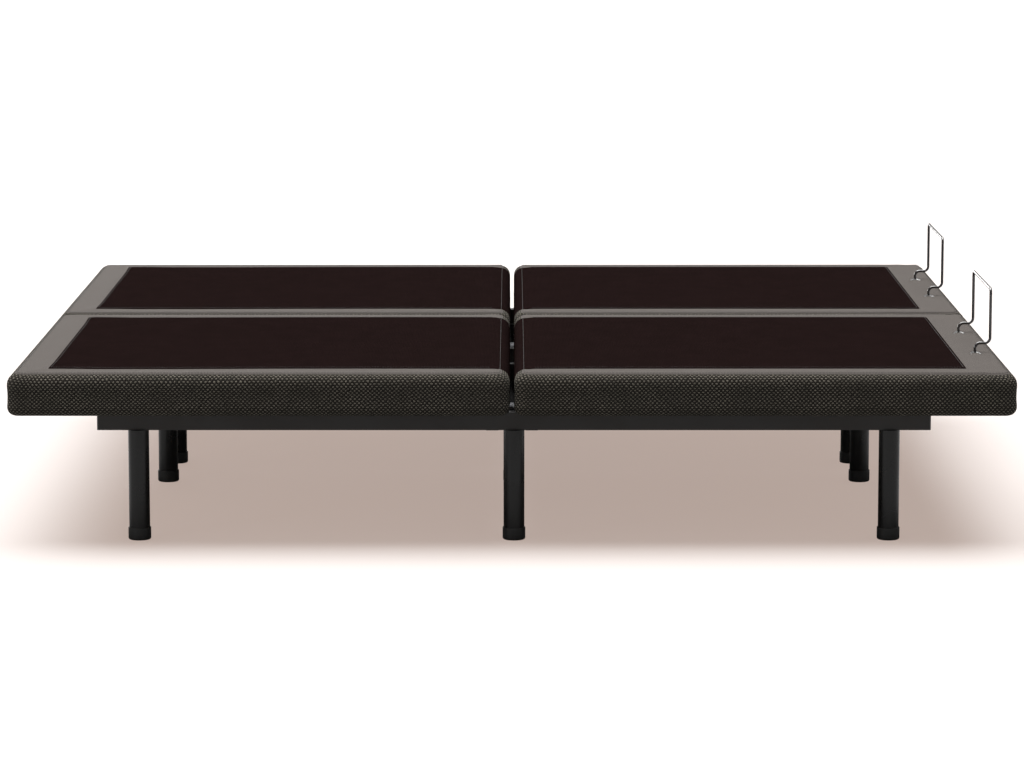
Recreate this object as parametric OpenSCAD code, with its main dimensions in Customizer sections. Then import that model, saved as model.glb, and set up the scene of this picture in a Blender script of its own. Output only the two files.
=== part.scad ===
// Adjustable bed base made of two modules that stand side by side.
// X runs along the bed with the head end at -X and the foot end at +X, Y runs across it, Z is up.
// The origin is on the floor under the middle of the deck. All sizes are millimetres.

/* [Deck] */
// Length of the deck from the head end to the foot end
deck_l = 2032; // [1900:1:2500]
// Width of one module's deck
module_w = 964; // [840:1:1200]
// Space between the two modules
module_gap = 2; // [1:0.5:20]
// Thickness of the upholstered panels
deck_t = 87; // [80:1:110]
// Space between the head panel and the foot panel
panel_gap = 8; // [6:0.5:12]
// Radius of the panels' upper edges
edge_r = 25; // [15:1:26]
// Radius of the panels' lower edges
under_r = 16; // [6:1:18]
// Radius of the panels' upright corners
corner_r = 25; // [10:1:40]
// Thickness of the padded side walls
pad_wall = 20; // [17:1:26]
// Thickness of the foam on top of the board
foam_t = 28; // [22:1:40]
// Thickness of the deck board and its aprons
board_t = 12; // [9:0.5:18]
// Depth of the aprons under the board
apron_h = 33; // [20:1:38]

/* [Dark insert] */
// Thickness of the non-slip fabric
insert_t = 1.5; // [1:0.1:3]
// Border left beside the insert along the bed's sides
side_border = 76; // [40:1:140]
// Border left at the head end
head_border = 78; // [40:1:140]
// Border left at the foot end
foot_border = 97; // [60:1:160]

/* [Frame] */
// Length of the side rails
rail_l = 1690; // [1500:1:1800]
// Width of the rail tube
rail_w = 25; // [20:1:40]
// Height of the rail tube
rail_h = 36; // [30:1:36]
// Wall of the rail tube
rail_wall = 2; // [1.5:0.1:3]
// Distance from the module's side to the middle of a rail
rail_inset = 126; // [60:1:140]
// Shift of the frame towards the foot end
frame_shift = 4; // [0:1:20]
// Width of the cross tubes
cross_w = 30; // [20:1:34]
// Height of the rubber bumpers that the panels rest on
bumper_h = 6; // [3:0.5:12]

/* [Legs] */
// Height of the legs, floor to rail
leg_h = 227; // [190:1:330]
// Diameter of a leg
leg_d = 42.5; // [30:0.5:55]
// Wall of a leg tube
leg_wall = 2; // [1.5:0.1:4]
// Spacing of the legs along the bed
leg_pitch = 765; // [600:1:800]
// Wall of the foot cap round the leg
foot_wall = 2; // [1.5:0.5:9.5]
// Height of the foot cap
foot_h = 26; // [15:1:40]
// Diameter of the threaded stud on a leg
stud_d = 10; // [8:1:12]

/* [Hinges] */
// Distance from the middle of the deck to a hinge pin
hinge_out = 42; // [38:1:46]
// Distance from the top of the deck down to a hinge pin
hinge_drop = 36; // [34:0.5:38]
// Distance of the hinges, tracks and lift arms from the module's middle
hinge_side = 250; // [200:1:290]
// Diameter of the hinge pin
pin_d = 12; // [8:0.1:15]
// Thickness of the hinge ears and lugs
ear_t = 6; // [4:0.5:8]
// Radial running clearance on pins and shafts
run_gap = 0.05; // [0.02:0.01:0.1]
// Side clearance between moving plates
side_gap = 0.4; // [0.3:0.1:1]

/* [Lift gear] */
// Distance from the middle of the deck to a torque tube
torque_out = 190; // [180:1:230]
// Diameter of the torque tube
torque_d = 30; // [24:1:36]
// Wall of the bushings that the torque tube turns in
bush_wall = 3; // [2:0.5:4]
// Length of the head lift arm
head_arm_l = 420; // [360:1:460]
// Length of the foot lift arm
foot_arm_l = 340; // [300:1:420]
// Radius of the lift rollers
roller_r = 18; // [14:1:19]
// Width of the lift rollers
roller_w = 23; // [16:1:30]
// Depth of the tracks under the board
track_h = 18; // [12:1:20]
// Width of the tracks
track_w = 40; // [30:1:44]
// Length of the lever that the actuator pushes
lever_l = 60; // [50:1:62]
// Travel of the head lever each side of upright, in degrees
head_swing = 36; // [20:1:40]
// Travel of the foot lever each side of upright, in degrees
foot_swing = 26.2; // [15:0.1:40]

/* [Actuators] */
// Distance of each actuator from the middle of its module's pair
actuator_side = 60; // [60:1:120]
// Distance from a module's middle to the middle of its pair of actuators
actuator_mid = 80; // [0:1:84]
// Diameter of the actuator's outer tube
actuator_d = 36; // [30:1:37]
// Diameter of the push rod
rod_d = 20; // [14:1:24]
// Distance of the rod's axis below the torque tube
rod_drop = 54.3; // [53:0.1:56]
// Play of the lever pin in the yoke's slot, each side
yoke_play = 1.5; // [1.3:0.1:4]

/* [Retainer bars] */
// Diameter of the bar's wire
wire_d = 6; // [5:0.1:8]
// Distance between a bar's two uprights
bar_w = 320; // [200:1:400]
// Height of the bar above the deck
bar_h = 136; // [80:1:200]
// Distance from the deck's foot end to the bar's feet
bar_inset = 53; // [36:1:80]
// Distance that the wire steps outwards above its feet
bar_step = 31; // [20:1:40]
// Height of that step above the deck
bar_rise = 20; // [14:1:30]
// Radius of the wire's bends, to its middle
bend_r = 11; // [9:1:12]

/* [Hidden] */
$fn = 48;
RIGHT = -1;            // the module at -Y
LEFT = 1;              // the module at +Y
HEAD = -1;             // the end at -X
FOOT = 1;              // the end at +X
eps = 1;               // how far a cut runs past a face

// Levels, from the floor up
rail_z = leg_h;
rail_top = rail_z + rail_h;
deck_z = rail_top + 8;
deck_top = deck_z + deck_t;
board_top = deck_top - foam_t;
board_z = board_top - board_t;
track_z = board_z - track_h;
hinge_z = deck_top - hinge_drop;
shaft_z = rail_z + rail_h / 2;
rod_z = shaft_z - rod_drop;

// Places along and across the bed
half_l = deck_l / 2;
half_gap = panel_gap / 2;
panel_l = half_l - half_gap;
module_y = (module_w + module_gap) / 2;
rail_y = module_w / 2 - rail_inset;
rail_inner = rail_y - rail_w / 2;
end_cross_x = rail_l / 2 - cross_w / 2;
board_in = half_gap + pad_wall;
board_out = half_l - pad_wall;
board_half_w = module_w / 2 - pad_wall;

// Lift gear
roller_z = track_z - roller_r - 0.5;
head_arm_tilt = asin((roller_z - shaft_z) / head_arm_l);
foot_arm_tilt = asin((roller_z - shaft_z) / foot_arm_l);
arm_t = 8;
arm_half_h = 14;
arm_boss_r = 15;
arm_side = hinge_side - roller_w / 2 - side_gap - arm_t;
axle_d = 12;
lever_t = 6;
lever_boss_r = 12;
yoke_t = 12;
yoke_wall = 8;
yoke_half = axle_d / 2 + yoke_play + yoke_wall;
yoke_low = shaft_z - lever_l - axle_d / 2 - 1.5;
yoke_high = shaft_z - lever_l * cos(head_swing) + axle_d / 2 + 1.5;
track_start = 100;
rod_l = 200;
tube_front = torque_out - 65;
tube_back = -190;
gearbox = [60, 44, 40];
motor_d = 38;
motor_l = 68;
bush_l = 16;

// Leg details: the foot cap fits round the leg, and a plate closes the leg's top
foot_d = leg_d + 2 * foot_wall;
foot_socket = 12;
foot_round = min(2, foot_wall);
leg_plate = 8;

// Frame details
post_d = 24;
post_side = 150;
link_x = [-460, 44, 540];
link_t = 4;
link_w = 32;
link_bolt_d = 8;
box_size = [120, 190, 34];
box_x = frame_shift + end_cross_x - cross_w / 2 - box_size[0];

// Retainer bar
prong_d = 3;
foot_x = half_l - bar_inset;
bar_x = foot_x + bar_step;
wire_low = board_top - 6;
socket_r = wire_d / 2 + 5;

// ---------- helpers ----------

// Points of an arc about (cx, cy) from angle a to angle b
function arc(cx, cy, r, a, b, n = 6) =
    [for (i = [0:n]) let (t = a + (b - a) * i / n) [cx + r * cos(t), cy + r * sin(t)]];

// A rectangle with one radius for its two low corners and one for its two high ones
function round_box(x0, y0, x1, y1, low, high) = concat(
    arc(x1 - low, y0 + low, low, -90, 0), arc(x1 - high, y1 - high, high, 0, 90),
    arc(x0 + high, y1 - high, high, 90, 180), arc(x0 + low, y0 + low, low, 180, 270));

// Place across its module of the actuator that lifts an end
function actuator_y(end) = actuator_mid + end * actuator_side;

// Moves its children to one module's middle
module at_module(side) { translate([0, side * module_y, 0]) children(); }

// Turns shapes drawn outwards along +X towards the given end
module outward(end) {
    if (end == FOOT) children();
    else mirror([1, 0, 0]) children();
}

// Repeats its children on both sides of a module's middle
module both_sides() {
    children();
    mirror([0, 1, 0]) children();
}

// A block between two corners
module block(low, high) { translate(low) cube(high - low); }

// A plate drawn in X and Z, from y to y + t
module plate_xz(y, t) { translate([0, y + t, 0]) rotate([90, 0, 0]) linear_extrude(t) children(); }

// A bar along Y from y0 to y1 at (x, z)
module shaft_y(x, z, d, y0, y1) {
    translate([x, y0, z]) rotate([-90, 0, 0]) cylinder(d = d, h = y1 - y0);
}

// A bar along X from x0 to x1 at (y, z)
module shaft_x(y, z, d, x0, x1) {
    translate([x0, y, z]) rotate([0, 90, 0]) cylinder(d = d, h = x1 - x0);
}

// A rectangular tube along X
module tube_x(low, high, wall) {
    difference() {
        block(low, high);
        block(low + [-eps, wall, wall], high - [-eps, wall, wall]);
    }
}

// ---------- legs ----------

// Places its children at every leg
module at_legs() {
    for (side = [RIGHT, LEFT], row = [-1, 1], i = [-1:1])
        translate([frame_shift + i * leg_pitch, side * module_y + row * rail_y, 0]) children();
}

module legs() {
    color("dimgray") at_legs() difference() {
        translate([0, 0, foot_h - foot_socket]) cylinder(d = leg_d, h = leg_h - foot_h + foot_socket);
        translate([0, 0, foot_h - foot_socket - eps])
            cylinder(d = leg_d - 2 * leg_wall, h = leg_h - foot_h + foot_socket - leg_plate + eps);
        cylinder(d = stud_d, h = leg_h + eps);
    }
}

module leg_feet() {
    color("black") at_legs() difference() {
        rotate_extrude() polygon(concat([[0, 0]], arc(foot_d / 2 - 4, 4, 4, -90, 0, 4),
            arc(foot_d / 2 - foot_round, foot_h - foot_round, foot_round, 0, 90, 4), [[0, foot_h]]));
        translate([0, 0, foot_h - foot_socket]) cylinder(d = leg_d, h = foot_socket + eps);
    }
}

module leg_studs() {
    color("silver") at_legs() translate([0, 0, leg_h - leg_plate])
        cylinder(d = stud_d, h = leg_plate + rail_h - 8);
}

// ---------- frame ----------

module rails(side) {
    color("dimgray") at_module(side) difference() {
        both_sides() tube_x([frame_shift - rail_l / 2, rail_inner, rail_z],
            [frame_shift + rail_l / 2, rail_inner + rail_w, rail_top], rail_wall);
        for (row = [-1, 1], i = [-1:1])
            translate([frame_shift + i * leg_pitch, row * rail_y, rail_z - eps])
                cylinder(d = stud_d + 0.6, h = rail_wall + 2 * eps);
    }
}

module rail_caps() {
    plug = 12;
    color("black")
        for (side = [RIGHT, LEFT], row = [-1, 1], end = [HEAD, FOOT])
            translate([frame_shift, side * module_y + row * rail_y, 0]) outward(end) {
                block([rail_l / 2, -rail_w / 2, rail_z], [rail_l / 2 + 3, rail_w / 2, rail_top]);
                block([rail_l / 2 - plug, -rail_w / 2 + rail_wall, rail_z + rail_wall],
                    [rail_l / 2, rail_w / 2 - rail_wall, rail_top - rail_wall]);
            }
}

// Outline of a hinge ear, from the cross tube up to its pin
module ear_shape() {
    polygon([[hinge_out - 15, rail_top], [hinge_out + 15, rail_top],
        [hinge_out + pin_d / 2 + 3, hinge_z], [hinge_out - pin_d / 2 - 3, hinge_z]]);
    translate([hinge_out, hinge_z]) circle(r = pin_d / 2 + 4);
}

// The welded cross tubes with their hinge ears and the posts that carry the lowered panels
module cross_frame(side) {
    color("gray") at_module(side) {
        for (end = [HEAD, FOOT]) outward(end) {
            difference() {
                block([hinge_out - cross_w / 2, -rail_inner, rail_z],
                    [hinge_out + cross_w / 2, rail_inner, rail_top]);
                block([hinge_out - cross_w / 2 + rail_wall, -rail_inner - eps, rail_z + rail_wall],
                    [hinge_out + cross_w / 2 - rail_wall, rail_inner + eps, rail_top - rail_wall]);
            }
            both_sides() difference() {
                plate_xz(hinge_side - ear_t / 2, ear_t) ear_shape();
                shaft_y(hinge_out, hinge_z, pin_d, hinge_side - ear_t, hinge_side + ear_t);
            }
        }
        for (end = [HEAD, FOOT]) {
            x = frame_shift + end * end_cross_x;
            difference() {
                block([x - cross_w / 2, -rail_inner, rail_z], [x + cross_w / 2, rail_inner, rail_top]);
                block([x - cross_w / 2 + rail_wall, -rail_inner - eps, rail_z + rail_wall],
                    [x + cross_w / 2 - rail_wall, rail_inner + eps, rail_top - rail_wall]);
            }
            both_sides() translate([x, post_side, rail_top])
                cylinder(d = post_d, h = board_z - rail_top - bumper_h);
        }
    }
}
module rest_bumpers() {
    color("black") for (side = [RIGHT, LEFT], row = [-1, 1], end = [HEAD, FOOT])
        translate([frame_shift + end * end_cross_x, side * module_y + row * post_side, board_z - bumper_h])
            cylinder(d = post_d + 6, h = bumper_h);
}

module hinge_pins() {
    head_t = 3;
    inner = hinge_side - ear_t / 2;
    outer = hinge_side + ear_t / 2 + 2 * side_gap + ear_t;
    color("silver") for (side = [RIGHT, LEFT], end = [HEAD, FOOT])
        at_module(side) outward(end) both_sides() {
            shaft_y(hinge_out, hinge_z, pin_d, inner, outer);
            shaft_y(hinge_out, hinge_z, pin_d + 6, inner - head_t, inner);
            shaft_y(hinge_out, hinge_z, pin_d + 6, outer, outer + head_t);
        }
}

// Steel straps that hold the two modules together, and their bolts
module module_links() {
    reach = module_y - rail_y + rail_w / 2;
    color("gray") for (x = link_x) difference() {
        block([x - link_w / 2, -reach, rail_z - link_t], [x + link_w / 2, reach, rail_z]);
        for (row = [-1, 1]) translate([x, row * (module_y - rail_y), rail_z - link_t - eps])
            cylinder(d = link_bolt_d, h = link_t + 2 * eps);
    }
}

module link_bolts() {
    color("silver") for (x = link_x, row = [-1, 1])
        translate([x, row * (module_y - rail_y), rail_z - link_t]) {
            cylinder(d = link_bolt_d, h = link_t);
            translate([0, 0, -5]) cylinder(d = link_bolt_d + 6, h = 5, $fn = 6);
        }
}

// ---------- panels ----------

// A panel's whole outside, rounded along every edge
module panel_block() {
    w = module_w / 2;
    intersection() {
        plate_xz(-w, module_w)
            polygon(round_box(half_gap, deck_z, half_l, deck_top, under_r, edge_r));
        translate([half_gap, 0, 0]) rotate([90, 0, 90]) linear_extrude(panel_l)
            polygon(round_box(-w, deck_z, w, deck_top, under_r, edge_r));
        translate([0, 0, deck_z]) linear_extrude(deck_t)
            polygon(round_box(half_gap, -w, half_l, w, corner_r, corner_r));
    }
}

// Room for the hinge: the pin's pocket and the slot that the ear swings through
module hinge_room() {
    roof = hinge_z + pin_d / 2 + 8;
    slot = ear_t / 2 + 1.5;
    both_sides() {
        block([hinge_out - 16, hinge_side - ear_t - 4, deck_z - eps],
            [hinge_out + 28, hinge_side + 2 * ear_t + 6, roof]);
        block([half_gap - eps, hinge_side - slot, deck_z - eps],
            [hinge_out + 28, hinge_side + slot, roof]);
    }
}

module insert_block(border) {
    w = module_w / 2 - side_border;
    block([half_gap + edge_r, -w, deck_top - insert_t], [half_l - border, w, deck_top]);
}

// The holes for the retainer bar's sockets
module socket_holes() {
    for (row = [-1, 1]) translate([foot_x, row * bar_w / 2, board_z - eps])
        cylinder(r = socket_r - 2, h = deck_top - board_z + 2 * eps);
}

module pad(side, end) {
    color("dimgray") at_module(side) outward(end) difference() {
        panel_block();
        block([board_in, -board_half_w, deck_z - eps], [board_out, board_half_w, board_top]);
        hinge_room();
        insert_block(end == HEAD ? head_border : foot_border);
        if (end == FOOT) socket_holes();
    }
}

module insert(side, end) {
    color("black") at_module(side) outward(end)
        insert_block(end == HEAD ? head_border : foot_border);
}

module board(side, end) {
    color("burlywood") at_module(side) outward(end) difference() {
        block([board_in, -board_half_w, board_z - apron_h], [board_out, board_half_w, board_top]);
        block([board_in + board_t, -board_half_w + board_t, board_z - apron_h - eps],
            [board_out - board_t, board_half_w - board_t, board_z]);
        hinge_room();
        if (end == FOOT) socket_holes();
    }
}

// Side view of the hinge lug
module lug_shape() {
    translate([hinge_out, hinge_z]) circle(r = pin_d / 2 + 5);
    polygon([[hinge_out, hinge_z - 10], [track_start + 40, track_z], [track_start + 40, board_z],
        [hinge_out + 28, board_z], [hinge_out + 3, hinge_z + pin_d / 2 + 4]]);
}

// The two roller tracks of a panel, each with its hinge lug
module tracks(side, end) {
    reach = (end == HEAD ? head_arm_l : foot_arm_l) + torque_out + 60;
    color("gray") at_module(side) outward(end) both_sides() {
        tube_x([track_start, hinge_side - track_w / 2, track_z],
            [reach, hinge_side + track_w / 2, board_z], rail_wall);
        difference() {
            plate_xz(hinge_side + ear_t / 2 + side_gap, ear_t) lug_shape();
            shaft_y(hinge_out, hinge_z, pin_d + 2 * run_gap, hinge_side, hinge_side + 3 * ear_t);
        }
    }
}

// ---------- lift gear ----------

// A flat arm along +X with round bosses, turned up by the given angle
module arm_shape(length, tilt) {
    translate([torque_out, shaft_z]) rotate(tilt) {
        translate([0, -arm_half_h]) square([length, 2 * arm_half_h]);
        translate([length, 0]) circle(r = arm_boss_r);
        circle(r = torque_d / 2 + 5);
    }
}

// The lever that points down, leaning towards the middle of the bed
module lever_shape(swing) {
    translate([torque_out, shaft_z]) rotate(-90 - swing) {
        translate([0, -10]) square([lever_l, 20]);
        translate([lever_l, 0]) circle(r = lever_boss_r);
        circle(r = torque_d / 2 + 5);
    }
}

module lift_arm(side, end) {
    length = end == HEAD ? head_arm_l : foot_arm_l;
    tilt = end == HEAD ? head_arm_tilt : foot_arm_tilt;
    swing = end == HEAD ? head_swing : foot_swing;
    roller_x = torque_out + length * cos(tilt);
    lever_x = torque_out - lever_l * sin(swing);
    lever_z = shaft_z - lever_l * cos(swing);
    lever_y = actuator_y(end);
    gap = yoke_t / 2 + 3;
    end_y = rail_inner - side_gap;
    color("darkgray") at_module(side) outward(end) {
        shaft_y(torque_out, shaft_z, torque_d, -end_y, end_y);
        both_sides() {
            plate_xz(arm_side, arm_t) arm_shape(length, tilt);
            shaft_y(roller_x, roller_z, axle_d, arm_side, hinge_side + roller_w / 2 + side_gap);
            shaft_y(roller_x, roller_z, axle_d + 6, hinge_side + roller_w / 2 + side_gap,
                hinge_side + roller_w / 2 + side_gap + 3);
        }
        for (y = [lever_y - gap - lever_t, lever_y + gap]) plate_xz(y, lever_t) lever_shape(swing);
        shaft_y(lever_x, lever_z, axle_d, lever_y - gap, lever_y + gap);
    }
}

module rollers(side, end) {
    length = end == HEAD ? head_arm_l : foot_arm_l;
    tilt = end == HEAD ? head_arm_tilt : foot_arm_tilt;
    x = torque_out + length * cos(tilt);
    color("ivory") at_module(side) outward(end) both_sides() difference() {
        shaft_y(x, roller_z, 2 * roller_r, hinge_side - roller_w / 2, hinge_side + roller_w / 2);
        shaft_y(x, roller_z, axle_d + 2 * run_gap, hinge_side - roller_w, hinge_side + roller_w);
    }
}

module shaft_bushings() {
    color("ivory") for (side = [RIGHT, LEFT], end = [HEAD, FOOT])
        at_module(side) outward(end) both_sides() difference() {
            shaft_y(torque_out, shaft_z, torque_d + 2 * (run_gap + bush_wall), rail_inner - bush_l,
                rail_inner);
            shaft_y(torque_out, shaft_z, torque_d + 2 * run_gap, rail_inner - bush_l - eps,
                rail_inner + eps);
        }
}

// ---------- actuators ----------

module actuator(side, end) {
    y = actuator_y(end);
    color("silver") at_module(side) outward(end) difference() {
        shaft_x(y, rod_z, actuator_d, tube_back, tube_front);
        shaft_x(y, rod_z, rod_d + 2 * run_gap, tube_back + 50, tube_front + eps);
    }
}

module motor(side, end) {
    y = actuator_y(end);
    back = tube_back - gearbox[0];
    color("black") at_module(side) outward(end) {
        block([back, y - gearbox[1] / 2, rod_z - gearbox[2] / 2],
            [tube_back, y + gearbox[1] / 2, rod_z + gearbox[2] / 2]);
        motor_end = y - end * (gearbox[1] / 2 + motor_l);
        shaft_y(back + gearbox[0] / 2, rod_z, motor_d, min(y, motor_end), max(y, motor_end));
    }
}

module rod(side, end) {
    y = actuator_y(end);
    swing = end == HEAD ? head_swing : foot_swing;
    x = torque_out - lever_l * sin(swing);
    color("lightgray") at_module(side) outward(end) {
        shaft_x(y, rod_z, rod_d, x - yoke_half - rod_l, x - yoke_half + 1);
        difference() {
            block([x - yoke_half, y - yoke_t / 2, yoke_low - 5.5],
                [x + yoke_half, y + yoke_t / 2, yoke_high + 5.5]);
            block([x - yoke_half + yoke_wall, y - yoke_t, yoke_low],
                [x + yoke_half - yoke_wall, y + yoke_t, yoke_high]);
        }
    }
}

module actuator_brackets() {
    wrap = 3;
    color("dimgray") for (side = [RIGHT, LEFT], x = [-hinge_out, hinge_out], end = [HEAD, FOOT])
        at_module(side) difference() {
            y = actuator_y(end);
            block([x - 13, y - actuator_d / 2 - 8, rod_z - actuator_d / 2 - wrap],
                [x + 13, y + actuator_d / 2 + 8, rail_z]);
            shaft_x(y, rod_z, actuator_d, x - 20, x + 20);
        }
}

// ---------- electrics ----------

module control_box(side) {
    color("black") at_module(side) difference() {
        block([box_x, -box_size[1] / 2, rail_z + 1],
            [box_x + box_size[0], box_size[1] / 2, rail_z + 1 + box_size[2]]);
        inlet_block();
    }
}

// The space that the power inlet fills in the control box
module inlet_block() {
    block([box_x - eps, -15, rail_z + 8], [box_x + 22, 15, rail_z + 30]);
}

module power_inlets() {
    color("gray") for (side = [RIGHT, LEFT]) at_module(side) difference() {
        intersection() {
            inlet_block();
            block([box_x, -15, rail_z + 8], [box_x + 22, 15, rail_z + 30]);
        }
        block([box_x - eps, -11, rail_z + 12], [box_x + 14, 11, rail_z + 26]);
    }
}

// ---------- retainer bars ----------

// A quarter bend of the wire about a point, in the plane of X and Z, from angle a to a + 90
module bend_xz(x, y, z, a) {
    translate([x, y, z]) rotate([90, 0, 0]) rotate([0, 0, a])
        rotate_extrude(angle = 90) translate([bend_r, 0]) circle(d = wire_d);
}

// The same in the plane of Y and Z
module bend_yz(x, y, z, a) {
    translate([x, y, z]) rotate([90, 0, 90]) rotate([0, 0, a])
        rotate_extrude(angle = 90) translate([bend_r, 0]) circle(d = wire_d);
}

module retainer_bar(side) {
    w = bar_w / 2;
    step_z = deck_top + bar_rise;
    top_z = deck_top + bar_h - wire_d / 2;
    color("dimgray") at_module(side) {
        both_sides() {
            translate([foot_x, w, wire_low]) cylinder(d = wire_d, h = step_z - bend_r - wire_low);
            bend_xz(foot_x + bend_r, w, step_z - bend_r, 90);
            shaft_x(w, step_z, wire_d, foot_x + bend_r, bar_x - bend_r);
            bend_xz(bar_x - bend_r, w, step_z + bend_r, -90);
            translate([bar_x, w, step_z + bend_r])
                cylinder(d = wire_d, h = top_z - step_z - 2 * bend_r);
            bend_yz(bar_x, w - bend_r, top_z - bend_r, 0);
        }
        shaft_y(bar_x, top_z, wire_d, -w + bend_r, w - bend_r);
    }
}

// Flanged sleeves in the deck that the bar's feet stand in
module retainer_sockets(side) {
    color("black") at_module(side) for (row = [-1, 1]) translate([foot_x, row * bar_w / 2, 0])
        difference() {
            union() {
                translate([0, 0, board_z]) cylinder(r = socket_r - 2, h = deck_top - board_z);
                translate([0, 0, deck_top]) cylinder(r = socket_r, h = 1.5);
            }
            translate([0, 0, wire_low]) cylinder(d = wire_d, h = deck_top - wire_low + 2 * eps + 1);
        }
}

// Splayed spring prongs that lie on the deck beside each foot
module retainer_clips(side) {
    color("silver") at_module(side) for (row = [-1, 1], lean = [-24, 16])
        translate([foot_x, row * bar_w / 2, deck_top + prong_d / 2]) rotate([0, 0, -90 + lean])
            translate([socket_r, 0, 0]) rotate([0, 90, 0]) cylinder(d = prong_d, h = 26);
}

// ---------- drawing ----------

legs();
leg_feet();
leg_studs();
rail_caps();
module_links();
link_bolts();
hinge_pins();
shaft_bushings();
rest_bumpers();
actuator_brackets();
power_inlets();
rails(RIGHT);  // rails_right
rails(LEFT);  // rails_left
cross_frame(RIGHT);  // cross_frame_right
cross_frame(LEFT);  // cross_frame_left
board(RIGHT, HEAD);  // head_board_right
board(LEFT, HEAD);  // head_board_left
board(RIGHT, FOOT);  // foot_board_right
board(LEFT, FOOT);  // foot_board_left
pad(RIGHT, HEAD);  // head_pad_right
pad(LEFT, HEAD);  // head_pad_left
pad(RIGHT, FOOT);  // foot_pad_right
pad(LEFT, FOOT);  // foot_pad_left
insert(RIGHT, HEAD);  // head_insert_right
insert(LEFT, HEAD);  // head_insert_left
insert(RIGHT, FOOT);  // foot_insert_right
insert(LEFT, FOOT);  // foot_insert_left
tracks(RIGHT, HEAD);  // head_tracks_right
tracks(LEFT, HEAD);  // head_tracks_left
tracks(RIGHT, FOOT);  // foot_tracks_right
tracks(LEFT, FOOT);  // foot_tracks_left
lift_arm(RIGHT, HEAD);  // head_lift_arm_right
lift_arm(LEFT, HEAD);  // head_lift_arm_left
lift_arm(RIGHT, FOOT);  // foot_lift_arm_right
lift_arm(LEFT, FOOT);  // foot_lift_arm_left
rollers(RIGHT, HEAD);  // head_rollers_right
rollers(LEFT, HEAD);  // head_rollers_left
rollers(RIGHT, FOOT);  // foot_rollers_right
rollers(LEFT, FOOT);  // foot_rollers_left
actuator(RIGHT, HEAD);  // head_actuator_right
actuator(LEFT, HEAD);  // head_actuator_left
actuator(RIGHT, FOOT);  // foot_actuator_right
actuator(LEFT, FOOT);  // foot_actuator_left
motor(RIGHT, HEAD);  // head_motor_right
motor(LEFT, HEAD);  // head_motor_left
motor(RIGHT, FOOT);  // foot_motor_right
motor(LEFT, FOOT);  // foot_motor_left
rod(RIGHT, HEAD);  // head_rod_right
rod(LEFT, HEAD);  // head_rod_left
rod(RIGHT, FOOT);  // foot_rod_right
rod(LEFT, FOOT);  // foot_rod_left
retainer_bar(RIGHT);  // retainer_bar_right
retainer_bar(LEFT);  // retainer_bar_left
retainer_sockets(RIGHT);  // retainer_sockets_right
retainer_sockets(LEFT);  // retainer_sockets_left
retainer_clips(RIGHT);  // retainer_clips_right
retainer_clips(LEFT);  // retainer_clips_left
control_box(RIGHT);  // control_box_right
control_box(LEFT);  // control_box_left
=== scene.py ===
# %% [markdown]
# # An adjustable bed base
# The real object is a split bed base: two equal modules side by side, each with an upholstered head panel
# and foot panel that hinge upwards from a black steel frame. The mechanical model is loaded first as a
# fixed frame, and everything made here is placed from its measurements and moves with its bodies.

# %% Load the frame
import math

import bmesh
import bpy
import numpy as np
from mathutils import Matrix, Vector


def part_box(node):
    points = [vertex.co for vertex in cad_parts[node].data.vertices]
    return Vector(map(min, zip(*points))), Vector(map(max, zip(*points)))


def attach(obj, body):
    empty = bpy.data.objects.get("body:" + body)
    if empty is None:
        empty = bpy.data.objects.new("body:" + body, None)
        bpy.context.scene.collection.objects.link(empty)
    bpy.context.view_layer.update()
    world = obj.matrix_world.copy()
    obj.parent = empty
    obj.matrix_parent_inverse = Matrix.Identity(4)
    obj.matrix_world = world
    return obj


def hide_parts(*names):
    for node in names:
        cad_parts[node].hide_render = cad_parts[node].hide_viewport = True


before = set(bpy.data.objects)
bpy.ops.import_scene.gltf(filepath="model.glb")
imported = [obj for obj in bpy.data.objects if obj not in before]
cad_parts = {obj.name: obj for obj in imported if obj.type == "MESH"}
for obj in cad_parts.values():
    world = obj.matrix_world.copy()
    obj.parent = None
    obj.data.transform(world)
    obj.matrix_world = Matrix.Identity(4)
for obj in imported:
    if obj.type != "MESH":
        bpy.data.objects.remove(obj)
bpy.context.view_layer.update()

# %% [markdown]
# Both modules carry the same names with _right (near side) and _left (far side), and both panels the same
# names with head_ and foot_. Naming them once lets every later step be a loop. A node's box gives its real
# place, so the few sizes below are read from the frame and not typed in.

# %% Sides, ends and the sizes read from the frame
SIDES = ("right", "left")
ENDS = ("head", "foot")


def node_box(node):
    """The lowest and highest corner of a CAD node, as two numpy arrays in metres."""
    low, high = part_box(node)
    return np.array(low, float), np.array(high, float)


pad_low, pad_high = node_box("foot_pad_right")
deck_top = pad_high[2]
deck_bottom = pad_low[2]
half_gap = pad_low[0]
rail_low, rail_high = node_box("rails_right")
print(f"deck from {deck_bottom:.3f} to {deck_top:.3f} m, half gap {half_gap:.4f} m")

# %% [markdown]
# A wide, low object is best seen from far away through a long lens, because its far side then looks almost
# as large as its near side. The camera stands nine metres off and is tipped down by about eight degrees.
# Tipping the camera keeps the lens shift at zero, so that any other view of the same scene stays centred.

# %% Camera
camera_data = bpy.data.cameras.new("camera")
camera_data.lens = 144.74
camera_data.sensor_width = 36.0
camera_data.clip_end = 400.0
camera = bpy.data.objects.new("camera", camera_data)
camera.location = (0.0, -9.128, 1.521)
camera.rotation_euler = (math.radians(90.0 - 8.244), 0.0, 0.0)
bpy.context.scene.collection.objects.link(camera)
bpy.context.scene.camera = camera
print("camera lens", camera_data.lens, "mm")

# %% [markdown]
# The light is a plain white studio: a very soft light from overhead, which makes the tops bright and leaves
# the sides dark, and a tall weak box on the left that draws a long highlight down each round leg. A sun
# lamp with a wide angle is an endless soft box, so the floor is equally bright everywhere and fades to
# white.

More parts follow.
